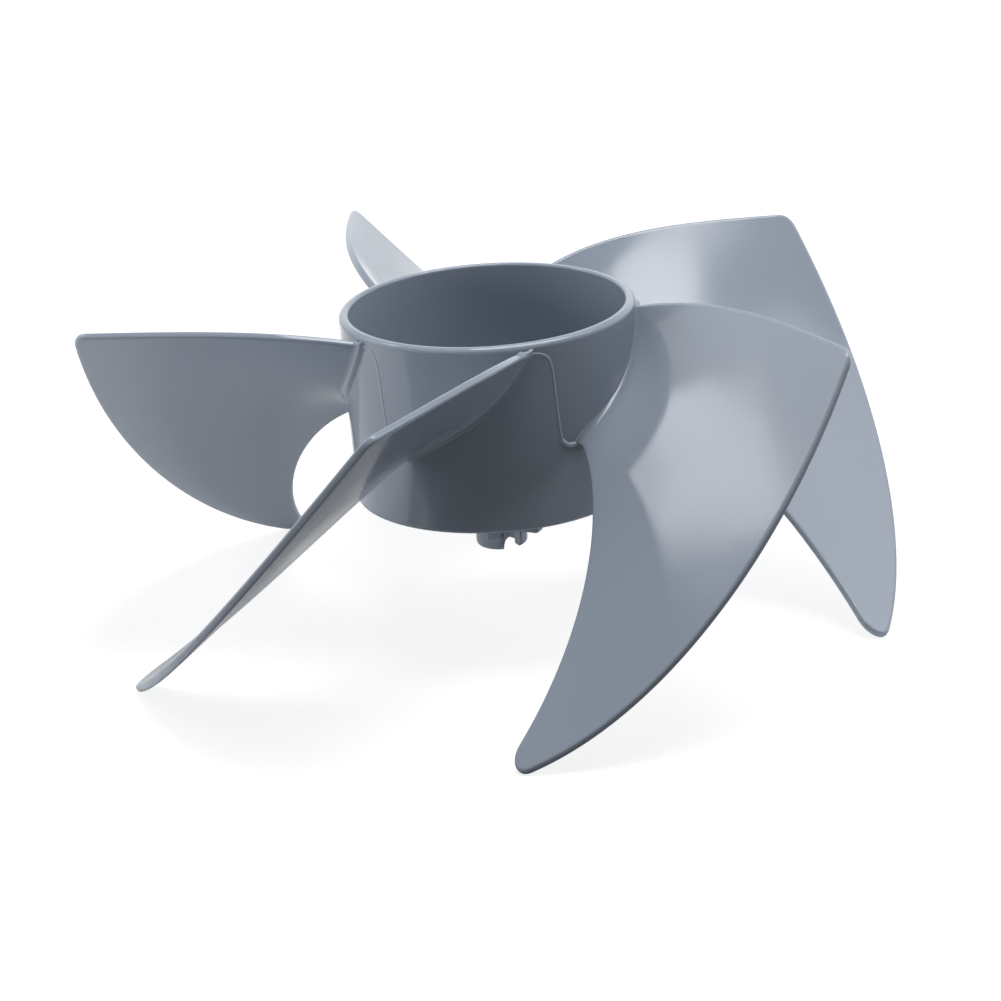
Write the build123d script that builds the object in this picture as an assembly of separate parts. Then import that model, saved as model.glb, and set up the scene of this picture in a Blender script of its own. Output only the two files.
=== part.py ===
from build123d import *
import os
from math import cos, hypot, radians, sin
from typing import NamedTuple

# Axial fan impeller, moulded in one piece: a deep hub cup, a keyed shaft boss and swept blades.
# Millimetres.  The shaft axis is Z, pointing towards the hub's open rim, and the origin is the point
# on that axis where the drive pin seats, at the root of the cross slot in the boss.

# ---- shaft boss ----
SHAFT_DIAMETER = 8.0
SHAFT_CLEARANCE = 0.05          # radial running room round the shaft
BOSS_DIAMETER = 15.0
BOSS_REACH = 17.8               # how far the boss stands out below the hub's foot
BOSS_STUB = 7.5                 # how far it stands up inside the cup, above the web
BOSS_ROUND = 1.2                # rounding of the boss's lower end
PIN_SLOT_WIDTH = 5.2            # cross slot for the drive pin
PIN_SLOT_DEPTH = 4.2
PIN_SLOT_ANGLE = -66.0

# ---- hub cup ----
RIM_RADIUS = 42.5               # outside, at the open rim
FOOT_RADIUS = 41.1              # outside, at the closed end: the difference is mould draft
HUB_DEPTH = 54.2                # rim to foot
HUB_WALL = 2.8
RIM_ROUND = 1.1                 # edges of the rim and of the foot
WEB_RECESS = 8.0                # foot to the web's underside
WEB_THICKNESS = 2.6
WEB_FILLET = 1.5

# ---- ribs under the web ----
RIB_THICKNESS = 3.0
RIB_RADIUS = 13.3               # outer edge of the deep part beside the boss
RIB_SETBACK = 4.5               # boss end to the rib's lower edge
RIB_ROUND = 1.4
RIB_SWEEP = 5.0
RIB_FOOT_GAP = 2.0              # how far the shallow part stops inside the hub's foot

# ---- blades ----
BLADE_COUNT = 5
BLADE_THICKNESS = 2.3
BLADE_START_ANGLE = -5.5        # leading edge of the first blade where it leaves the hub
BLADE_RADIUS = 112.8            # axis to the outer edge at the trailing side
OUTER_EDGE_LEAD = 5.4           # how much further out that edge is at the leading side
LEAD_CORNER_RADIUS = 9.0
TRAIL_CORNER_RADIUS = 5.5
EDGE_ROUND = 0.5
ROOT_FILLET = 1.5
ROOT_BITE = 0.6                 # share of the hub wall that the blade's root runs into


class Section(NamedTuple):
    """Blade section on a cylinder round the axis; heights are from the rim's plane."""
    lead_angle: float
    lead_height: float
    trail_angle: float
    trail_height: float
    camber: float               # how far mid-chord lies above the straight chord
    bias: float                 # shifts the camber towards the leading edge


# Four evenly spaced sections, from the hub wall to the outer edge.
SECTIONS = (
    Section(0.0, -1.8, -49.8, -32.3, -3.6, 4.0),
    Section(-12.1, 2.0, -62.3, -49.4, -0.6, 1.3),
    Section(-21.1, 2.3, -75.3, -74.0, -3.4, -1.4),
    Section(-27.5, 0.9, -87.8, -98.7, -12.1, -4.0),
)

# ---- heights that follow from the sizes above ----
BOSS_END = -PIN_SLOT_DEPTH
FOOT = BOSS_END + BOSS_REACH
RIM = FOOT + HUB_DEPTH
WEB_UNDERSIDE = FOOT + WEB_RECESS
WEB_TOP = WEB_UNDERSIDE + WEB_THICKNESS
BOSS_TOP = WEB_TOP + BOSS_STUB
BOSS_RADIUS = BOSS_DIAMETER / 2
BORE_RADIUS = SHAFT_DIAMETER / 2 + SHAFT_CLEARANCE
RIB_ANGLE = BLADE_START_ANGLE + (SECTIONS[0].lead_angle + SECTIONS[0].trail_angle) / 2

STANDING = (Align.CENTER, Align.CENTER, Align.MIN)
CHORD_STEPS = 8                 # points fitted along and across each skin
SPAN_STEPS = 6
SKIN_TOLERANCE = 0.02           # of the fitted skins, and of the tests that pick edges by place


def hub_radius(height):
    """Outside radius of the drafted hub wall at a height."""
    return RIM_RADIUS + (FOOT_RADIUS - RIM_RADIUS) * (RIM - height) / HUB_DEPTH


def hub_cup():
    """Drafted wall with a rounded rim and foot and a recessed web, turned round the axis."""
    outline = Polyline(
        (0, WEB_UNDERSIDE),
        (hub_radius(WEB_UNDERSIDE) - HUB_WALL, WEB_UNDERSIDE),
        (FOOT_RADIUS - HUB_WALL, FOOT),
        (FOOT_RADIUS, FOOT),
        (RIM_RADIUS, RIM),
        (RIM_RADIUS - HUB_WALL, RIM),
        (hub_radius(WEB_TOP) - HUB_WALL, WEB_TOP),
        (0, WEB_TOP),
        close=True,
    )
    section = make_face(outline)
    for height, radius in (
        (RIM, RIM_ROUND),
        (FOOT, RIM_ROUND),
        (WEB_UNDERSIDE, WEB_FILLET),
        (WEB_TOP, WEB_FILLET),
    ):
        outer = section.vertices().filter_by(lambda corner: corner.X > BOSS_RADIUS)
        level = outer.filter_by_position(Axis.Y, height - SKIN_TOLERANCE, height + SKIN_TOLERANCE)
        section = fillet(level, radius)
    return revolve(Plane.XZ * section, Axis.Z)


def shaft_boss():
    """Solid boss with a rounded lower end; the bore and the slot are cut once everything is joined."""
    boss = Pos(Z=BOSS_END) * Cylinder(BOSS_RADIUS, BOSS_TOP - BOSS_END, align=STANDING)
    return fillet(boss.edges().sort_by(Axis.Z)[0], BOSS_ROUND)


def web_rib():
    """One radial rib: deep beside the boss, then a hollow sweep up to a shallow bar that meets the wall."""
    low = BOSS_END + RIB_SETBACK
    bar = FOOT + RIB_FOOT_GAP
    reach = hub_radius(WEB_UNDERSIDE) - HUB_WALL / 2
    top = WEB_UNDERSIDE + WEB_THICKNESS / 2
    deep = (RIB_RADIUS, low)
    step = (RIB_RADIUS, bar)
    side = make_face(Polyline((0, low), deep, step, (reach, bar), (reach, top), (0, top), close=True))
    for corner, radius in ((deep, RIB_ROUND), (step, RIB_SWEEP)):
        side = fillet(side.vertices().sort_by_distance(corner)[0], radius)
    return extrude(Plane.XZ * side, RIB_THICKNESS / 2, both=True)


def shaft_bore():
    """Cutter for the round bore, right through the boss."""
    return Pos(Z=BOSS_END) * Cylinder(BORE_RADIUS, BOSS_TOP - BOSS_END, align=STANDING)


def pin_slot():
    """Cutter for the slot across the boss's end, whose root is a half round that seats the drive pin."""
    half = PIN_SLOT_WIDTH / 2
    root = Pos(Y=-half) * Circle(half)
    legs = Pos(Y=-half) * Rectangle(PIN_SLOT_WIDTH, PIN_SLOT_DEPTH, align=(Align.CENTER, Align.MAX))
    return Rot(Z=PIN_SLOT_ANGLE + 90) * extrude(Plane.XZ * (root + legs), BOSS_DIAMETER, both=True)


def between_sections(values, span):
    """Cubic through the values at the evenly spaced sections, at a span from 0 (hub) to 1 (outer edge)."""
    last = len(values) - 1
    total = 0.0
    for i, value in enumerate(values):
        weight = 1.0
        for j in range(len(values)):
            if j != i:
                weight *= (span * last - j) / (i - j)
        total += value * weight
    return total


def middle(radius, chord):
    """Point of the blade's middle surface at a radius, chord running from 0 (leading) to 1 (trailing)."""
    span = (radius - RIM_RADIUS) / (BLADE_RADIUS - RIM_RADIUS)
    at = Section(*(between_sections(column, span) for column in zip(*SECTIONS)))
    angle = radians(BLADE_START_ANGLE + at.lead_angle + chord * (at.trail_angle - at.lead_angle))
    bow = 4 * chord * (1 - chord) * (at.camber + at.bias * (2 * chord - 1))
    height = RIM + at.lead_height + chord * (at.trail_height - at.lead_height) + bow
    return Vector(radius * cos(angle), radius * sin(angle), height)


def normal(radius, chord):
    """Upward unit normal of the middle surface."""
    step = 1e-3
    outwards = middle(radius + step, chord) - middle(radius - step, chord)
    backwards = middle(radius, chord + step) - middle(radius, chord - step)
    across = backwards.cross(outwards)
    return across.normalized() if across.Z > 0 else -across.normalized()


def skin(side):
    """Upper (side +1) or lower (side -1) skin, half the thickness off the middle surface."""
    root = hub_radius(middle(RIM_RADIUS, 0.5).Z) - ROOT_BITE * HUB_WALL
    rows = []
    for i in range(SPAN_STEPS + 1):
        row = []
        for j in range(CHORD_STEPS + 1):
            chord = j / CHORD_STEPS
            edge = BLADE_RADIUS + OUTER_EDGE_LEAD * (1 - chord)
            radius = root + (edge - root) * i / SPAN_STEPS
            row.append(middle(radius, chord) + normal(radius, chord) * (side * BLADE_THICKNESS / 2))
        rows.append(row)
    return Face.make_surface_from_array_of_points(rows, tol=SKIN_TOLERANCE, min_deg=3, max_deg=5)


def radius_of(shape):
    """Distance of a shape's centre from the axis."""
    return hypot(shape.center().X, shape.center().Y)


def is_short(edge):
    """Whether an edge only crosses the blade's thickness."""
    return edge.length < 2 * BLADE_THICKNESS


def blade():
    """Two skins joined by ruled edges, with both outer corners and then the long edges rounded."""
    upper = skin(+1)
    lower = skin(-1)
    borders = [
        Face.make_surface_from_curves(edge, lower.edges().sort_by_distance(edge.center())[0])
        for edge in upper.edges()
    ]
    plate = Solid(Shell([upper, lower, *borders]))
    for corner_radius, end in ((LEAD_CORNER_RADIUS, -1), (TRAIL_CORNER_RADIUS, 0)):
        tips = plate.edges().filter_by(is_short).sort_by(radius_of)[-2:]
        plate = plate.fillet(corner_radius, [tips.sort_by(Axis.Z)[end]])
    outer_edges = plate.edges().filter_by(lambda e: not is_short(e) and radius_of(e) > RIM_RADIUS)
    return plate.fillet(EDGE_ROUND, outer_edges)


def on_hub_wall(edge):
    """Whether an edge runs along the hub's drafted outside, as the line where a blade meets it does."""
    points = [edge.position_at(j / CHORD_STEPS) for j in range(CHORD_STEPS + 1)]
    return all(abs(hypot(p.X, p.Y) - hub_radius(p.Z)) < SKIN_TOLERANCE for p in points)


def impeller():
    """Everything that the mould fills, joined, with fillets where the blades leave the hub."""
    step = 360 / BLADE_COUNT
    wing = blade()
    fan = hub_cup() + [Rot(Z=step * i) * wing for i in range(BLADE_COUNT)]
    roots = fan.edges().filter_by(on_hub_wall).filter_by(GeomType.BSPLINE)
    fan = fillet(roots, ROOT_FILLET)
    rib = web_rib()
    fan += shaft_boss()
    fan += [Rot(Z=RIB_ANGLE + step * i) * rib for i in range(BLADE_COUNT)]
    return fan - shaft_bore() - pin_slot()


os.makedirs("parts", exist_ok=True)
part = impeller()
part.label = "impeller"
export_step(part, "parts/impeller.step")
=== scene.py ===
"""Axial fan impeller, one glossy moulding: a deep hub cup, a slotted shaft boss, ribs and swept blades.

The scene is in metres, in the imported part's frame: Z is the shaft axis, with the hub's open rim at
the top.  Sizes are given in millimetres and scaled once, where the meshes are made.
"""

import math

import bmesh
import bpy
import numpy as np
from mathutils import Matrix, Vector


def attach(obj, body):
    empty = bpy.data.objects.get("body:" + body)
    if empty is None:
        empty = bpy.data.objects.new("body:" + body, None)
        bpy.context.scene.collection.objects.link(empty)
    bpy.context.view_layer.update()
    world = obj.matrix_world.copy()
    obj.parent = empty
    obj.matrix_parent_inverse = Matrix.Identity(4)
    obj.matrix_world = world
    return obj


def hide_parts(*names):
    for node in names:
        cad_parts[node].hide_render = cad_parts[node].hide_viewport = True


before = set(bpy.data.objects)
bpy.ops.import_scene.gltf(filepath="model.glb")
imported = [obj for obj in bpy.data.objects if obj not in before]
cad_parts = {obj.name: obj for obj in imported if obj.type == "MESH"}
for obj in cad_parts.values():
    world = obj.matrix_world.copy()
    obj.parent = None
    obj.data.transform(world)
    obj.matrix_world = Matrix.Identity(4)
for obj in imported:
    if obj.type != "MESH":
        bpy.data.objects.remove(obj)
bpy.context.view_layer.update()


# ---------------------------------------------------------------------------------------------
# Hub cup: a deep round cup, open at the rim and closed by a web a little inside its foot.  It is
# the middle of the moulding, in glossy blue-grey plastic, and its wall has draft so that it
# leaves the mould.  Everything below is moulded in one piece with it.
# ---------------------------------------------------------------------------------------------
FOOT, RIM = 13.6, 67.8  # heights of the drafted wall's ends
FOOT_RADIUS, RIM_RADIUS = 41.1, 42.5  # outside
WALL = 2.8
CROWN = 0.8  # the rim's round stands this much above the wall's end
OUTER_RIM_ROUND, INNER_RIM_ROUND, FOOT_ROUND, WEB_ROUND = 1.6, 0.8, 1.1, 1.5
WEB_UNDERSIDE, WEB_TOP = 21.6, 24.2
WEB_HOLE = 6.0  # radius where the web ends, inside the shaft boss
HUB_SIDES = 288
DEEP_TONE, PALE_TONE = (0.280, 0.325, 0.395, 1), (0.300, 0.345, 0.415, 1)
PLASTIC_IOR = 1.46


def quads_of(index):
    """Quads of a 2-D array of point numbers: each with its neighbours to the right and below."""
    corners = index[:-1, :-1], index[:-1, 1:], index[1:, 1:], index[1:, :-1]
    return np.stack(corners, axis=-1).reshape(-1, 4)


def numbers(rows, columns, wrap_rows=False):
    """Point numbers of a grid, counted row by row.

    The first column comes again as the last, and the first row too where asked, to close the grid.
    """
    index = np.arange(rows * columns).reshape(rows, columns)
    index = np.hstack([index, index[:, :1]])
    return np.vstack([index, index[:1]]) if wrap_rows else index


def rounded(corners, radii, steps=8, hold=0.15, pitch=1.5):
    """Closed outline with an arc at each corner, and points along its straight stretches.

    At a corner whose half angle is h, an arc of radius r starts r / tan(h) from the corner.  It is
    ((1-u)^2 start + 2u(1-u) w corner + u^2 end) / ((1-u)^2 + 2u(1-u) w + u^2), where w = sin(h).
    Points at the distance hold beyond each arc keep the straight stretches flat as they are shaded.
    """
    corners = np.array(corners, float)
    u = np.linspace(0, 1, steps + 1)[:, None]
    arcs = []
    around = zip(np.roll(corners, 1, axis=0), corners, np.roll(corners, -1, axis=0), radii)
    for before, corner, after, radius in around:
        if not radius:
            arcs.append(corner[None])
            continue
        back = (before - corner) / np.linalg.norm(before - corner)
        ahead = (after - corner) / np.linalg.norm(after - corner)
        half = math.acos(np.clip(back @ ahead, -1, 1)) / 2
        reach, w = radius / math.tan(half), math.sin(half)
        weights = np.hstack([(1 - u) ** 2, 2 * u * (1 - u) * w, u**2])
        arc = weights @ np.stack([corner + reach * back, corner, corner + reach * ahead])
        arcs.append(arc / weights.sum(axis=1, keepdims=True))
    outline = []
    for arc, following in zip(arcs, arcs[1:] + arcs[:1]):
        span = following[0] - arc[-1]
        length = np.linalg.norm(span)
        stops = np.concatenate([[hold], np.arange(1, length - 0.5, pitch), [length - hold]]) / length
        outline += [arc, arc[-1] + stops[:, None] * span]
    return np.concatenate(outline)


def wall_radius(height):
    """Outside radius of the hub, in a straight line from its foot's radius to its rim's."""
    return RIM_RADIUS - (RIM_RADIUS - FOOT_RADIUS) * (RIM - height) / (RIM - FOOT)


def revolved(section, sides):
    """Section turned round the axis: (r, z) goes to (r cos a, r sin a, z) at even angles a."""
    angle = np.linspace(0, 2 * np.pi, sides, endpoint=False)
    radius, height = section[:, 0, None], section[:, 1, None]
    return np.stack([radius * np.cos(angle), radius * np.sin(angle), height + 0 * angle], axis=-1)


class Value:
    """An output socket that can be added, subtracted and multiplied, each with one Math node."""

    def __init__(self, shader, socket):
        self.shader = shader
        self.socket = socket

    def __add__(self, other):
        return self.shader.node("Math", self, other, operation="ADD")

    def __radd__(self, other):
        return self.shader.node("Math", other, self, operation="ADD")

    def __sub__(self, other):
        return self.shader.node("Math", self, other, operation="SUBTRACT")

    def __rsub__(self, other):
        return self.shader.node("Math", other, self, operation="SUBTRACT")

    def __mul__(self, other):
        return self.shader.node("Math", self, other, operation="MULTIPLY")

    def __rmul__(self, other):
        return self.shader.node("Math", other, self, operation="MULTIPLY")


class Shader:
    """A material or world made node by node."""

    def __init__(self, owner):
        self.owner = owner
        owner.use_nodes = True
        self.tree = owner.node_tree
        self.tree.nodes.clear()

    def node(self, kind, *by_place, output=0, sockets=None, **settings):
        """Adds a node, sets it, then fills its inputs by place or by key, and returns one output."""
        node = self.tree.nodes.new("ShaderNode" + kind)
        for key, value in settings.items():
            setattr(node, key, value)
        for key, value in [*enumerate(by_place), *(sockets or {}).items()]:
            if isinstance(value, Value):
                self.tree.links.new(value.socket, node.inputs[key])
            else:
                node.inputs[key].default_value = value
        return Value(self, node.outputs[output]) if len(node.outputs) else node

    def blend(self, low, high, factor):
        """Colour (1 - factor) low + factor high."""
        return self.node("Mix", output=2, data_type="RGBA", sockets={0: factor, 6: low, 7: high})


def impeller_plastic():
    """Glossy blue-grey plastic: a slightly wavy skin, uneven polish and a faint unevenness of tone.

    Tone and roughness follow a broad noise; the skin's height is a finer one plus a little grain.
    """
    shader = Shader(bpy.data.materials.new("impeller_plastic"))
    place = shader.node("TexCoord", output="Object")
    waves = shader.node("TexNoise", sockets={"Vector": place, "Scale": 38.0, "Detail": 1.0})
    grain = shader.node("TexNoise", sockets={"Vector": place, "Scale": 900.0, "Detail": 2.0})
    flow = shader.node("TexNoise", sockets={"Vector": place, "Scale": 14.0, "Detail": 3.0})
    height = waves + 0.012 * grain
    skin = shader.node("Bump", sockets={"Strength": 0.25, "Distance": 0.0006, "Height": height})
    surface = {
        "Base Color": shader.blend(DEEP_TONE, PALE_TONE, flow),
        "Roughness": 0.08 + 0.06 * flow,
        "IOR": PLASTIC_IOR,
        "Normal": skin,
    }
    shader.node("OutputMaterial", shader.node("BsdfPrincipled", sockets=surface))
    return shader.owner


def moulded(name, points, quads, material):
    """A finished piece of the moulding, smooth-shaded, with its faces pointing outwards."""
    mesh = bpy.data.meshes.new(name)
    mesh.from_pydata((points.reshape(-1, 3) / 1000).tolist(), [], quads.tolist())
    shape = bmesh.new()
    shape.from_mesh(mesh)
    bmesh.ops.recalc_face_normals(shape, faces=shape.faces)
    shape.to_mesh(mesh)
    shape.free()
    mesh.shade_smooth()
    mesh.materials.append(material)
    piece = bpy.data.objects.new(name, mesh)
    bpy.context.collection.objects.link(piece)
    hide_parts("impeller")
    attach(piece, "root")


plastic = impeller_plastic()
cup_section = np.array(
    [  # radius, height, round
        (WEB_HOLE, WEB_UNDERSIDE, 0),
        (wall_radius(WEB_UNDERSIDE) - WALL, WEB_UNDERSIDE, WEB_ROUND),
        (FOOT_RADIUS - WALL, FOOT, FOOT_ROUND),
        (FOOT_RADIUS, FOOT, FOOT_ROUND),
        (wall_radius(RIM + CROWN), RIM + CROWN, OUTER_RIM_ROUND),
        (wall_radius(RIM + CROWN) - WALL, RIM + CROWN, INNER_RIM_ROUND),
        (wall_radius(WEB_TOP) - WALL, WEB_TOP, WEB_ROUND),
        (WEB_HOLE, WEB_TOP, 0),
    ]
)
cup = revolved(rounded(cup_section[:, :2], cup_section[:, 2]), HUB_SIDES)
moulded("hub_cup", cup, quads_of(numbers(*cup.shape[:2], wrap_rows=True)), plastic)


# ---------------------------------------------------------------------------------------------
# Shaft boss: a round post through the middle of the web, of the same plastic, moulded with the
# cup.  A running bore goes through it, and a slot across its lower end takes the drive pin.
# ---------------------------------------------------------------------------------------------
BORE, BOSS_RADIUS, BOSS_ROUND = 4.05, 7.5, 1.2
BOSS_END, BOSS_TOP = -4.2, 31.7
SLOT_HALF = 2.6  # half the slot's width, and the radius of its half-round root
SLOT_ANGLE = -66


def boss_points(rings=9, lane=13):
    """Grid round the boss: rows go down the bore, across the slotted end and up the outside.

    The end's land is flat and then a quarter circle up to the outside.  In the slot, at a distance
    y from its middle plane, the height is sqrt(h^2 - y^2) - h, with h half the slot's width.  The
    columns are in four lanes whose borders follow the slot's straight sides, at angles asin(h / r).
    """
    flat = np.linspace(BORE, BOSS_RADIUS - BOSS_ROUND, rings)
    curved = BOSS_RADIUS - BOSS_ROUND * (1 - np.sin(np.linspace(0, np.pi / 2, rings)))[1:]
    across = np.concatenate([flat, curved])[:, None]
    half = np.arcsin(SLOT_HALF / across)
    share = np.linspace(0, 1, lane)
    in_slot, beside = 2 * half * share - half, half + (np.pi - 2 * half) * share
    angle = np.hstack([in_slot, beside, np.pi + in_slot, np.pi + beside])
    slotted = np.repeat([True, False, True, False], lane)
    rise = np.clip(across - BOSS_RADIUS + BOSS_ROUND, 0, BOSS_ROUND)
    land = BOSS_END + BOSS_ROUND - np.sqrt(BOSS_ROUND**2 - rise**2)
    offset = np.clip(np.abs(across * np.sin(angle)), 0, SLOT_HALF)
    root = np.sqrt(SLOT_HALF**2 - offset**2) - SLOT_HALF
    height = np.where(slotted, np.maximum(root, land), land + 0 * angle)
    bottom = np.stack([across * np.cos(angle), across * np.sin(angle), height], axis=-1)

    def risen(row, levels):
        """The row again at each level, which is a share of the way up to the boss's top."""
        climb = np.array(levels)[:, None, None] * (BOSS_TOP - row[None, :, 2:])
        return row[None] + climb * np.array([0, 0, 1])

    bore, outside = risen(bottom[0], (1, 0.999, 0.5, 0.01)), risen(bottom[-1], (0.01, 0.5, 0.999, 1))
    return np.concatenate([bore, bottom, outside])


def turned(points, degrees):
    """Points turned round the shaft: (x, y) goes to (x cos a - y sin a, x sin a + y cos a)."""
    c, s = math.cos(math.radians(degrees)), math.sin(math.radians(degrees))
    return points @ np.array([[c, s, 0], [-s, c, 0], [0, 0, 1]])


boss = turned(boss_points(), SLOT_ANGLE)
moulded("shaft_boss", boss, quads_of(numbers(*boss.shape[:2], wrap_rows=True)), plastic)


# ---------------------------------------------------------------------------------------------
# Ribs: five upright plates under the web, of the same plastic, that brace the boss to the wall.
# Each is deep beside the boss, then sweeps up to a shallow bar, and its lower edges are rounded.
# ---------------------------------------------------------------------------------------------
COUNT = 5  # of ribs and of blades
STEP = 360 / COUNT
RIB_ANGLE = -30.4
RIB_HALF, RIB_EDGE = 1.5, 0.5  # half the thickness, and the rounding of the lower edges
RIB_START, RIB_END = 5.0, 39.5  # radii, inside the boss and inside the wall
RIB_STEP_RADIUS = 13.3  # where the deep part ends
RIB_LOW, RIB_BAR, RIB_TOP = 0.3, 15.6, 22.9
RIB_CORNER, RIB_SWEEP = 1.4, 5.0


def rib_points():
    """Grid of one rib along +X: each row goes round its thickness at one point of its lower outline.

    The rounding is a quarter circle, at angle t a distance edge (1 - cos t) in from the flat side
    and edge (1 - sin t) up from the lower outline, square to it.
    """
    low, bar, top = (RIB_STEP_RADIUS, RIB_LOW), (RIB_STEP_RADIUS, RIB_BAR), (RIB_END, RIB_TOP)
    corners = [(RIB_START, RIB_LOW), low, bar, (RIB_END, RIB_BAR), top, (RIB_START, RIB_TOP)]
    outline = rounded(corners, (0, RIB_CORNER, RIB_SWEEP, 0, 0, 0))
    lower = outline[: np.flatnonzero(outline[:, 0] >= RIB_END)[0] + 1]
    path = np.diff(lower, axis=0, prepend=lower[:1] - [1, 0])
    inward = np.stack([-path[:, 1], path[:, 0]], axis=-1) / np.linalg.norm(path, axis=-1, keepdims=True)
    spine = np.stack([np.linspace(RIB_START, RIB_END, len(lower)), np.full(len(lower), RIB_TOP)], axis=-1)
    side = [(RIB_HALF, spine)]
    for turn in np.linspace(0, np.pi / 2, 6):
        up = RIB_EDGE * (1 - np.sin(turn))
        side.append((RIB_HALF - RIB_EDGE * (1 - np.cos(turn)), lower + inward * up))
    columns = side + [(-y, at) for y, at in side[::-1]]
    return np.stack([np.stack([at[:, 0], 0 * at[:, 0] + y, at[:, 1]], axis=-1) for y, at in columns], axis=1)


def capped(rows, columns):
    """Quads of a grid whose rows go round a bar, with quads from side to side across both its ends."""
    index = numbers(rows, columns)
    half = columns // 2
    caps = [quads_of(np.stack([row[:half], row[:-1][: half - 1 : -1]])) for row in (index[0], index[-1])]
    return np.concatenate([quads_of(index), *caps])


rib = rib_points()
ribs = np.stack([turned(rib, RIB_ANGLE + STEP * k) for k in range(COUNT)])
rib_quads = np.concatenate([capped(*rib.shape[:2]) + k * rib[..., 0].size for k in range(COUNT)])
moulded("web_ribs", ribs, rib_quads, plastic)


# ---------------------------------------------------------------------------------------------
# Blades: five swept and twisted plates of even thickness, of the same plastic, moulded on to the
# hub's wall with a small fillet.  Their outer corners are round and all their edges are rounded.
# ---------------------------------------------------------------------------------------------
BLADE_START = -5.5  # angle of the first blade's leading edge at the hub
BLADE_RADIUS = 112.8  # axis to the outer edge at the trailing side
EDGE_LEAN = 5.4  # how much further out that edge is at the leading side
SECTIONS = np.array(
    [  # lead angle, lead height from RIM, trail angle, trail height from RIM, camber, bias
        (0.0, -1.8, -49.8, -32.3, -3.6, 4.0),
        (-12.1, 2.0, -62.3, -49.4, -0.6, 1.3),
        (-21.1, 2.3, -75.3, -74.0, -3.4, -1.4),
        (-27.5, 0.9, -87.8, -98.7, -12.1, -4.0),
    ]
)
BLADE_HALF = 1.15  # half the thickness
EDGE_ROUND, ROOT_ROUND = 0.85, 1.8
LEAD_CORNER, TRAIL_CORNER = 4.5, 5.5
ROOT_CEILING = 66.4  # the leading root's fillet stays under this height at the hub's wall
ROOT_CEILING_RADIUS, ROOT_CEILING_SLOPE, ROOT_CEILING_END = 42.3, 0.9, 45.5


def middle(radius, chord):
    """Middle surface at a radius, chord going from 0 at the leading edge to 1 at the trailing edge.

    The angle is straight along the chord.  So is the height, plus 4c(1-c)(camber + bias (2c-1)).
    Between the four evenly spaced sections every value follows the cubic through all four.
    """
    s = 3 * (radius - RIM_RADIUS) / (BLADE_RADIUS - RIM_RADIUS)
    cubic = (
        (1 - s) * (2 - s) * (3 - s) / 6,
        s * (2 - s) * (3 - s) / 2,
        s * (s - 1) * (3 - s) / 2,
        s * (s - 1) * (s - 2) / 6,
    )
    values = np.moveaxis(np.stack(cubic, axis=-1) @ SECTIONS, -1, 0)
    lead_angle, lead, trail_angle, trail, camber, bias = values
    angle = np.radians(BLADE_START + lead_angle + chord * (trail_angle - lead_angle))
    bow = 4 * chord * (1 - chord) * (camber + bias * (2 * chord - 1))
    height = RIM + lead + chord * (trail - lead) + bow
    return np.stack([radius * np.cos(angle), radius * np.sin(angle), height], axis=-1)


def normal(radius, chord, step=1e-3):
    """Upward unit normal: the cross product of the surface's small steps along and outwards."""
    out = middle(radius + step, chord) - middle(radius - step, chord)
    back = middle(radius, chord + step) - middle(radius, chord - step)
    up = np.cross(back, out)
    return up / np.linalg.norm(up, axis=-1, keepdims=True)


def outer_radius(chord):
    """Radius of the blade's outer edge, which grows in a straight line towards the leading edge."""
    return BLADE_RADIUS + EDGE_LEAN * (1 - chord)


def stations(near, far, count):
    """Places along a stretch: near its start and its end at set distances, evenly spread between.

    Each is an offset and a share, and lies at offset + share * length.
    """
    share = np.linspace(0, 1, count)[1:-1]
    between = near[-1] * (1 - share) - far[-1] * share
    offset = np.concatenate([near, between, -far[::-1]])
    return offset, np.concatenate([0 * near, share, 0 * far + 1])


def corner_inset(radius, chord, inwards, drop):
    """How far an outer corner's round pulls the side edge in, at a radial drop below the outer edge.

    With the arc's reach t and weight w as in rounded(), and x^2 and y^2 the distances along the two
    edges over t, every point of the arc has x^2 + y^2 + 2wxy = 1, and the inset is y^2 t.
    """
    tip = middle(outer_radius(chord), chord)
    down = middle(outer_radius(chord) - 1.0, chord) - tip
    along = middle(outer_radius(chord + inwards), chord + inwards) - tip
    half = math.acos(down @ along / np.linalg.norm(down) / np.linalg.norm(along)) / 2
    reach, w = radius / math.tan(half), math.sin(half)
    x = np.sqrt(np.clip(drop * np.linalg.norm(down) / reach, 0, 1))
    return reach * (np.sqrt(1 - (1 - w**2) * x**2) - w * x) ** 2


def border_distance(points):
    """Shortest distance of every grid point from the blade's two sides and its outer edge."""
    border = np.concatenate([points[:, 0], points[-1, 1:-1], points[::-1, -1]])
    nearest = np.full(points.shape[:2], np.inf)
    for start, step in zip(border[:-1], np.diff(border, axis=0)):
        share = np.clip((points - start) @ step / (step @ step), 0, 1)
        nearest = np.minimum(nearest, np.linalg.norm(points - start - share[..., None] * step, axis=-1))
    return nearest


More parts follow.
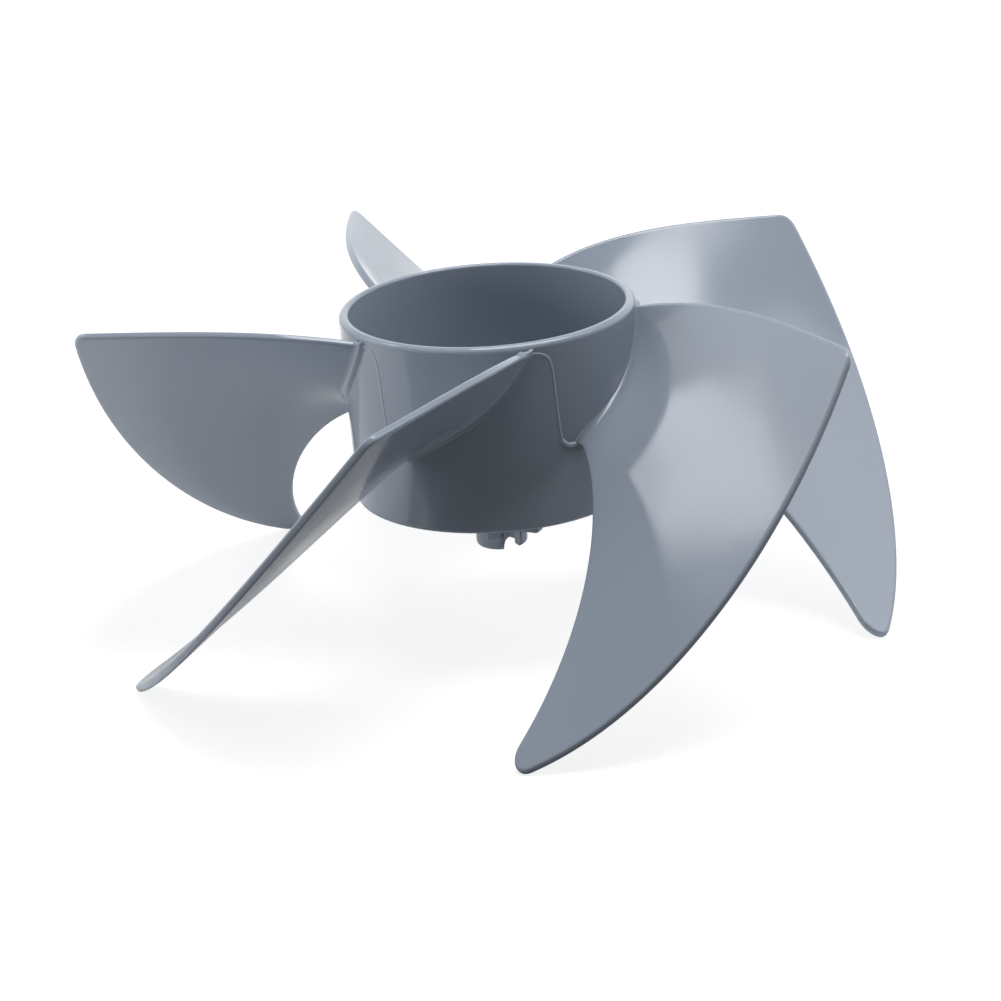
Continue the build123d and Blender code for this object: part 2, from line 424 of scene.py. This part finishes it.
def blade_points():
    """Rows of the blade from inside the hub wall to its outer edge, upper skin then lower skin.

    Both skins lie half the thickness off the middle surface.  That half falls by a quarter circle
    towards the free border and grows by another towards the hub, where the edges flare as well.
    """
    quarter = 1 - np.cos(np.linspace(0, 1, 9) * np.pi / 2)
    # Rows: two inside the wall, then close over the fillet, and closer again to the outer edge.
    near = np.concatenate([[-1.6, -0.4], ROOT_ROUND * quarter, [3.0, 5.0]])
    far = 14 * np.linspace(0, 1, 27) ** 2
    offset, share = stations(near, far, 36)
    # Columns: close over the rounding of both side edges.
    side = np.concatenate([EDGE_ROUND * quarter, [1.3, 2.0]])
    place, part = stations(side, side, 48)

    chord = np.broadcast_to(part, (len(offset), len(part)))
    centre = 30  # a column near mid-chord
    # Two rounds, because the hub's radius and the corners' insets depend on the chord they move.
    for _ in range(2):
        hub = wall_radius(middle(RIM_RADIUS - 0.5 + 0 * chord, chord)[..., 2])
        radius = hub + offset[:, None] + share[:, None] * (outer_radius(chord) - hub)
        gap = np.clip(radius - hub, 0, ROOT_ROUND)
        flare = ROOT_ROUND - np.sqrt(ROOT_ROUND**2 - (ROOT_ROUND - gap) ** 2)
        length = np.linalg.norm(np.diff(middle(radius, chord), axis=1), axis=-1).sum(axis=1)
        drop = np.clip(outer_radius(chord[:, centre]) - radius[:, centre], 0, None)
        lead = corner_inset(LEAD_CORNER, 0.0, 0.01, drop) - flare[:, 0]
        trail = corner_inset(TRAIL_CORNER, 1.0, -0.01, drop) - flare[:, -1]
        along = lead[:, None] + place + part * (length - lead - trail)[:, None]
        chord = along / length[:, None]
    surface = middle(radius, chord)
    inset = EDGE_ROUND - np.clip(border_distance(surface), 0, EDGE_ROUND)
    thick = BLADE_HALF - EDGE_ROUND + np.sqrt(EDGE_ROUND**2 - inset**2) + flare
    across = normal(radius, chord) * thick[..., None]
    points = np.concatenate([surface + across, (surface - across)[:, ::-1]], axis=1)

    # Near the hub nothing rises past the rim, and the rows inside the wall follow its draft.
    reach = np.hypot(points[..., 0], points[..., 1])
    ceiling = ROOT_CEILING + ROOT_CEILING_SLOPE * np.clip(reach - ROOT_CEILING_RADIUS, 0, None)
    lowered = np.minimum(points[..., 2], ceiling)
    points[..., 2] = np.where(reach < ROOT_CEILING_END, lowered, points[..., 2])
    buried = wall_radius(points[:3, :, 2]) + offset[:3, None]
    points[:3, :, :2] *= (buried / reach[:3])[..., None]
    return points


blade = blade_points()
skins = capped(*blade.shape[:2])
for k in range(COUNT):
    moulded(f"blade_{k + 1}", turned(blade, STEP * k), skins, plastic)


# ---------------------------------------------------------------------------------------------
# Parting lines: where the mould's halves meet, a fine bead of the same plastic stands on the hub
# wall.  It runs down from each blade's leading edge, steps sideways over a small ledge and ends at
# the next blade's trailing edge.  The trimmed flash leaves it matter, and its colour is painted
# paler: a painted highlight for the light that the bead catches.
# ---------------------------------------------------------------------------------------------
PARTING_ROUTE = [  # angle, height
    (-77.2, 65.6),
    (-75.5, 65.7),
    (-71.4, 65.6),
    (-67.4, 64.2),
    (-66.2, 60.2),
    (-65.6, 54.5),
    (-64.9, 47.0),
    (-64.2, 41.5),
    (-63.6, 38.6),
    (-61.6, 36.9),
    (-58.8, 36.6),
    (-56.0, 36.9),
    (-54.6, 35.9),
]
LEDGE_ROUTE = PARTING_ROUTE[-5:]
BEAD_HALF_WIDTH, BEAD_HEIGHT = 0.34, 0.17
LEDGE_HALF_WIDTH, LEDGE_HEIGHT = 0.7, 0.38
# The bead's tone is painted paler than the plastic: a painted highlight for the light it catches.
BEAD_HIGHLIGHT_TONE, FLASH_ROUGHNESS = (0.42, 0.46, 0.53, 1), 0.35


def spline(corners, steps=8):
    """Smooth path near its corners: a uniform cubic B-spline whose ends are tripled to hold them.

    Four corners in turn have the weights (1-u)^3, 3u^3 - 6u^2 + 4, -3u^3 + 3u^2 + 3u + 1 and u^3,
    all over 6.
    """
    corners = np.array([corners[0]] * 2 + corners + [corners[-1]] * 2, float)
    u = np.linspace(0, 1, steps, endpoint=False)
    rising, falling = -3 * u**3 + 3 * u**2 + 3 * u + 1, 3 * u**3 - 6 * u**2 + 4
    weights = np.stack([(1 - u) ** 3, falling, rising, u**3], axis=-1) / 6
    runs = np.stack([corners[:-3], corners[1:-2], corners[2:-1], corners[3:]], axis=1)
    return (weights @ runs).reshape(-1, corners.shape[1])


def bead_points(route, half_width, height):
    """Grid of a bead on the hub wall along (angle, height) places: each row is an ellipse round it.

    The ellipse stands square to the route and half in the wall.  It shrinks over the last rows as
    the square root of their number from the end.
    """
    wall = 42.0  # radius at which angles are turned into lengths
    angle, level = spline(route).T
    angle = np.radians(angle)
    turn = np.linspace(0, 2 * np.pi, 10, endpoint=False)
    run = np.stack([np.gradient(angle * wall), np.gradient(level)], axis=-1)
    run /= np.linalg.norm(run, axis=-1, keepdims=True)
    row = np.arange(len(level))
    taper = np.sqrt(np.clip(np.minimum(row, row[::-1]) / 4, 0.05, 1))[:, None]
    side = half_width * taper * np.cos(turn)
    out = height * taper * np.sin(turn)
    around = angle[:, None] - side * run[:, 1:] / wall
    up = level[:, None] + side * run[:, :1]
    radius = wall_radius(up) + out
    return np.stack([radius * np.cos(around), radius * np.sin(around), up], axis=-1)


def highlighted_parting_plastic():
    """The same plastic along the parting line, even in tone and polish, painted paler: a painted highlight.
    """
    shader = Shader(bpy.data.materials.new("highlighted_parting_plastic"))
    surface = {"Base Color": BEAD_HIGHLIGHT_TONE, "Roughness": FLASH_ROUGHNESS, "IOR": PLASTIC_IOR}
    shader.node("OutputMaterial", shader.node("BsdfPrincipled", sockets=surface))
    return shader.owner


# Material that carries the painted highlight of the parting lines' beads.
highlighted_bead_plastic = highlighted_parting_plastic()
bead = bead_points(PARTING_ROUTE, BEAD_HALF_WIDTH, BEAD_HEIGHT)
ledge = bead_points(LEDGE_ROUTE, LEDGE_HALF_WIDTH, LEDGE_HEIGHT)
both = np.concatenate([bead.reshape(-1, 3), ledge.reshape(-1, 3)])
both_quads = np.concatenate([capped(*bead.shape[:2]), capped(*ledge.shape[:2]) + bead[..., 0].size])
for k in range(COUNT):
    moulded(f"parting_line_{k + 1}", turned(both, STEP * k), both_quads, highlighted_bead_plastic)


# ---------------------------------------------------------------------------------------------
# Camera: a long lens a good metre away, in front of the impeller and looking down at it by 20
# degrees, with a slight roll.
# ---------------------------------------------------------------------------------------------
LENS = 134.17
CAMERA_PLACE = (0.00025, -1.02146, 0.3793)
CAMERA_PITCH, CAMERA_ROLL = -19.948, -3.825

lens = bpy.data.cameras.new("camera")
lens.lens = LENS
camera = bpy.data.objects.new("camera", lens)
camera.matrix_world = (
    Matrix.Translation(CAMERA_PLACE)
    @ Matrix.Rotation(math.radians(90 + CAMERA_PITCH), 4, "X")
    @ Matrix.Rotation(math.radians(CAMERA_ROLL), 4, "Z")
)
bpy.context.collection.objects.link(camera)
bpy.context.scene.camera = camera


# ---------------------------------------------------------------------------------------------
# Floor: a wide plain sheet that the blades' tips rest on.  The camera sees it white, with a pale
# shadow; the glossy plastic mirrors it as white behind the impeller and dark in front of it.
# ---------------------------------------------------------------------------------------------
FLOOR_REACH = 4.0
WHITE = (1, 1, 1, 1)
BACK = (-0.225, 0.974, 0)  # unit direction from the front of the room to its white wall
FLOOR_IN_FRONT = (0.14, 0.14, 0.14, 1)
FLOOR_BEHIND = (0.7, 0.7, 0.7, 1)
FLOOR_SHADOWED = (0.3, 0.3, 0.3, 1)


def stepped(shader, value, low, high):
    """Smooth step 3t^2 - 2t^3 from 0 to 1, where t is the value's share of the way to high."""
    return shader.node("MapRange", value, low, high, 0.0, 1.0, interpolation_type="SMOOTHSTEP")


def towards(shader, vector, direction):
    """How far a vector reaches in a direction: their dot product."""
    return shader.node("VectorMath", vector, direction, operation="DOT_PRODUCT", output=1)


def white_floor():
    """White as the camera sees it, keeping a pale shadow; otherwise white behind and dark in front.

    Both are a glow plus a matt sheet, so that the lamps still draw the object's shadow.  The glow
    grows by smooth steps with the distance from the shaft, in metres.
    """
    shader = Shader(bpy.data.materials.new("floor"))
    place = shader.node("TexCoord", output="Object")
    seen = shader.node("LightPath", output="Is Camera Ray")
    distance = shader.node("VectorMath", place, operation="LENGTH", output=1)
    behind = stepped(shader, towards(shader, place, BACK), -0.075, -0.055)
    away, far = stepped(shader, distance, 0.12, 0.4), stepped(shader, distance, 0.3, 1.2)
    glow = shader.node("Emission", WHITE, 0.03 + behind * (0.12 + 0.5 * away))
    matt = shader.node("BsdfDiffuse", shader.blend(FLOOR_IN_FRONT, FLOOR_BEHIND, behind))
    white = shader.node("Emission", WHITE, 0.84 + 0.16 * far)
    shadowed = shader.node("BsdfDiffuse", FLOOR_SHADOWED)
    mirrored, pale = shader.node("AddShader", glow, matt), shader.node("AddShader", white, shadowed)
    shader.node("OutputMaterial", shader.node("MixShader", seen, mirrored, pale))
    return shader.owner


floor_mesh = bpy.data.meshes.new("floor")
floor_corners = [(-1, -1, 0), (1, -1, 0), (1, 1, 0), (-1, 1, 0)]
floor_mesh.from_pydata([[FLOOR_REACH * x for x in corner] for corner in floor_corners], [], [(0, 1, 2, 3)])
floor_mesh.materials.append(white_floor())
floor = bpy.data.objects.new("floor", floor_mesh)
floor.location.z = blade[..., 2].min() / 1000 - 0.0001
bpy.context.collection.objects.link(floor)


# ---------------------------------------------------------------------------------------------
# Lamps: one wide lamp overhead, soft panels high at the left behind and at the right that the
# blades mirror, and two weak lamps low at the sides that they don't.
# ---------------------------------------------------------------------------------------------
def soft_light(name, at, size, watts, aim, mirrored=True):
    """A rectangular area light that shines at a point and that the camera doesn't see."""
    light = bpy.data.lights.new(name, "AREA")
    light.shape = "RECTANGLE"
    light.size, light.size_y = size
    light.energy = watts
    lamp = bpy.data.objects.new(name, light)
    lamp.location = at
    lamp.rotation_euler = (Vector(aim) - Vector(at)).to_track_quat("-Z", "Y").to_euler()
    lamp.visible_camera = False
    lamp.visible_glossy = mirrored
    bpy.context.collection.objects.link(lamp)


soft_light("overhead", (0.25, 0.04, 1.0), (0.70, 0.5), 10.2, aim=(0.25, 0.04, 0))
soft_light("panel_top", (-0.676, 0.266, 0.868), (0.34, 0.15), 1.0, aim=(0.04, -0.06, 0.03))
soft_light("panel", (-0.828, 0.335, 0.673), (0.34, 0.36), 0.55, aim=(0.04, -0.06, 0.03))
soft_light("left_fill", (-0.75, -0.40, 0.10), (0.4, 0.3), 1.7, aim=(-0.06, -0.06, 0.01), mirrored=False)
soft_light("right_fill", (0.75, -0.45, 0.05), (0.4, 0.3), 0.9, aim=(0.06, -0.06, 0.01), mirrored=False)
soft_light("right_panel", (0.81, 0.12, 0.85), (0.4, 0.4), 1.1, aim=(0.08, 0.02, 0.03))


# ---------------------------------------------------------------------------------------------
# Room: plain white to the camera.  To all other rays it is dim, with a white wall behind that
# fades out above.
# ---------------------------------------------------------------------------------------------
ROOM_LIGHT = 0.1


def studio_walls():
    """World of strength 1 to the camera, and otherwise ROOM_LIGHT plus 1 where the white wall is."""
    shader = Shader(bpy.data.worlds.new("studio"))
    way = shader.node("TexCoord", output="Generated")
    seen = shader.node("LightPath", output="Is Camera Ray")
    behind = stepped(shader, towards(shader, way, BACK), -0.04, 0.02)
    above = stepped(shader, towards(shader, way, (0, 0, 1)), 0.3, 0.6)
    wall = ROOM_LIGHT + behind * (1 - above)
    shader.node("OutputWorld", shader.node("Background", WHITE, wall + seen * (1 - wall)))
    return shader.owner


bpy.context.scene.world = studio_walls()
bpy.context.scene.view_settings.view_transform = "Standard"
